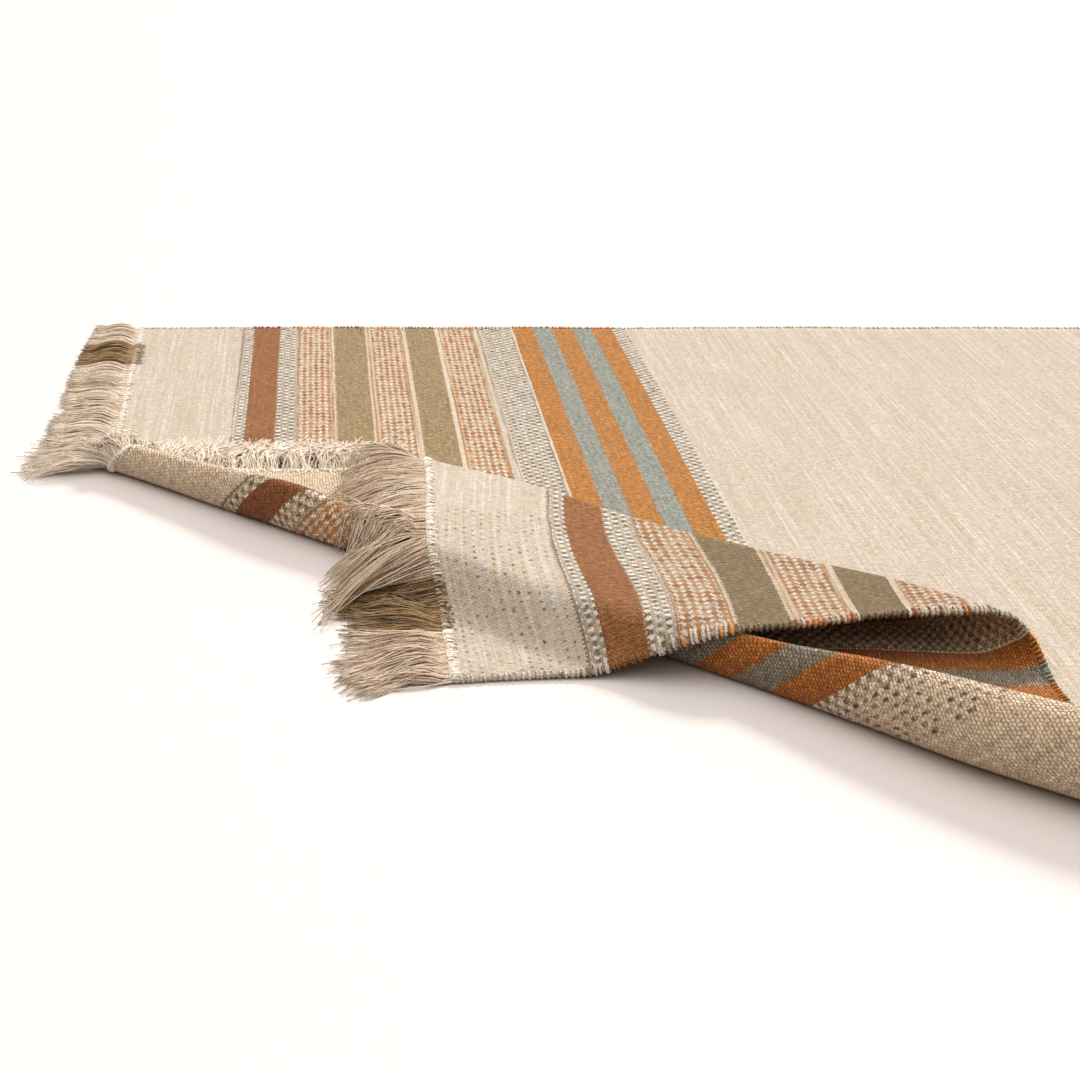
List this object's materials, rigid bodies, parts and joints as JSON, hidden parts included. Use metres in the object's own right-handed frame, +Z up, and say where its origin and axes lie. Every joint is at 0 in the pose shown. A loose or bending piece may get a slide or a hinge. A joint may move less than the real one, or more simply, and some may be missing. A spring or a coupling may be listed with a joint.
{
  "type": "kilim rug",
  "caption": "Flat-woven fringed floor rug lying flat, one corner turned back in an S-shaped fold of a roll, a middle stretch and a flap.",
  "frame": {"origin": "middle of the rug's outline on the floor, z = 0 at the floor", "axes": "+X along the rug's length from the end with the turned corner, +Y across it away from the turned corner's side, +Z up"},
  "size_m": [2.488, 1.6003, 0.0814],
  "materials": {
    "woven_wool": "matte weft-faced wool and cotton weave with stripes across the rug",
    "warp_yarn": "matte plied yarn"
  },
  "bodies": {
    "root": {"rug_cloth": "woven_wool", "fringe_left_body": "warp_yarn", "fringe_left_middle": "warp_yarn", "fringe_left_flap": "warp_yarn", "fringe_right": "warp_yarn"}
  },
  "joints": []
}
